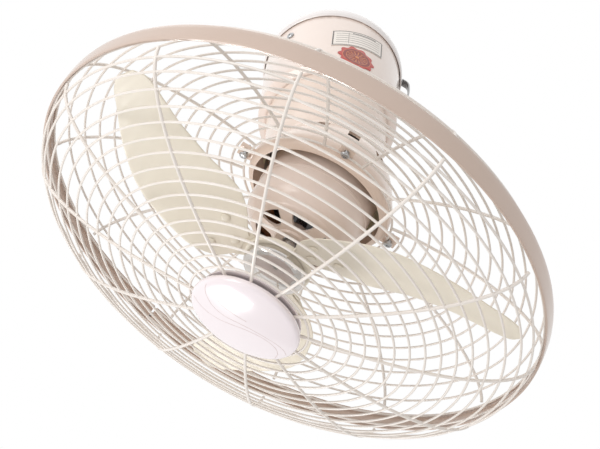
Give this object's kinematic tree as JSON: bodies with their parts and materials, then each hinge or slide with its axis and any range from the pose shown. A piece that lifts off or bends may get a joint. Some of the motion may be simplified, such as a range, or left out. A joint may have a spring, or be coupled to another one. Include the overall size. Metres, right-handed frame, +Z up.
{
  "type": "orbital ceiling fan",
  "caption": "Orbital ceiling fan with a round canopy, a turning neck and bell, and a leaning caged head whose blades spin behind a round badge.",
  "frame": {"origin": "centre of the ceiling plate's flat upper face, which lies on the ceiling", "axes": "+Z straight up along the orbit axis; at rest the head leans towards -Y"},
  "size_m": [0.5184, 0.4772, 0.4688],
  "materials": {
    "cream_paint": "glossy pinkish cream enamel",
    "white_wire": "satin off-white coating",
    "rim_paint": "satin warm beige enamel",
    "blade_paint": "satin cream with an olive cast",
    "badge_gloss": "high gloss near-white",
    "chrome": "polished",
    "steel": "zinc plated",
    "brass": "plain",
    "copper": "lacquered copper wire",
    "lamination": "stacked steel sheet",
    "nylon": "natural nylon",
    "dark_plastic": "matte",
    "label_film": "satin sticker film",
    "seal_film": "glossy red sticker film"
  },
  "bodies": {
    "ceiling_mount": {"ceiling_plate": "cream_paint", "canopy": "cream_paint", "hanger_bracket": "steel", "canopy_screw_right": "steel", "canopy_screw_left": "steel", "safety_clip": "steel", "rating_plate": "label_film", "seal_sticker": "seal_film", "terminal_block": "nylon", "run_capacitor": "dark_plastic", "spindle": "steel", "spindle_locknut": "steel", "retaining_nut": "steel", "thrust_washer": "brass", "slip_ring_drum": "brass", "orbit_gear": "brass"},
    "orbit_head": {"swivel_plate": "steel", "swivel_bush": "brass", "orbit_motor": "steel", "brush_block": "nylon", "swivel_housing": "cream_paint", "guard_screw_1": "steel", "guard_screw_2": "steel", "guard_screw_3": "steel", "guard_screw_4": "steel", "motor_bracket": "steel", "motor_rear_cover": "cream_paint", "rear_bearing": "steel", "motor_front_cover": "cream_paint", "front_bearing": "steel", "stator_core": "lamination", "stator_winding_front": "copper", "stator_winding_rear": "copper", "front_guard": "white_wire", "rear_guard": "white_wire", "rim_band": "rim_paint", "band_screw": "steel", "band_nut": "steel", "badge": "badge_gloss", "badge_backing": "badge_gloss", "badge_screw": "steel"},
    "rotor": {"rotor_core": "lamination", "rotor_shaft": "steel", "blade_spider": "blade_paint", "blade_1": "blade_paint", "blade_1_rivet_1": "blade_paint", "blade_1_rivet_2": "blade_paint", "blade_1_rivet_3": "blade_paint", "blade_2": "blade_paint", "blade_2_rivet_1": "blade_paint", "blade_2_rivet_2": "blade_paint", "blade_2_rivet_3": "blade_paint", "blade_3": "blade_paint", "blade_3_rivet_1": "blade_paint", "blade_3_rivet_2": "blade_paint", "blade_3_rivet_3": "blade_paint", "hub_nut": "steel", "hub_cap": "chrome"},
    "pinion": {"orbit_pinion": "nylon"}
  },
  "joints": [
    {"name": "orbit", "type": "hinge", "parent": "ceiling_mount", "child": "orbit_head", "pos_m": [0, 0, -0.18], "axis": [0, 0, 1], "continuous": true},
    {"name": "fan_spin", "type": "hinge", "parent": "orbit_head", "child": "rotor", "pos_m": [0, 0, -0.26], "axis": [0, -0.4384, -0.8988], "continuous": true},
    {"name": "pinion_spin", "type": "hinge", "parent": "orbit_head", "child": "pinion", "pos_m": [0.0242, 0, -0.163], "axis": [0, 0, 1], "continuous": true}
  ],
  "couplings": [
    {"joint": "pinion_spin", "follows": "orbit", "ratio": 3}
  ]
}
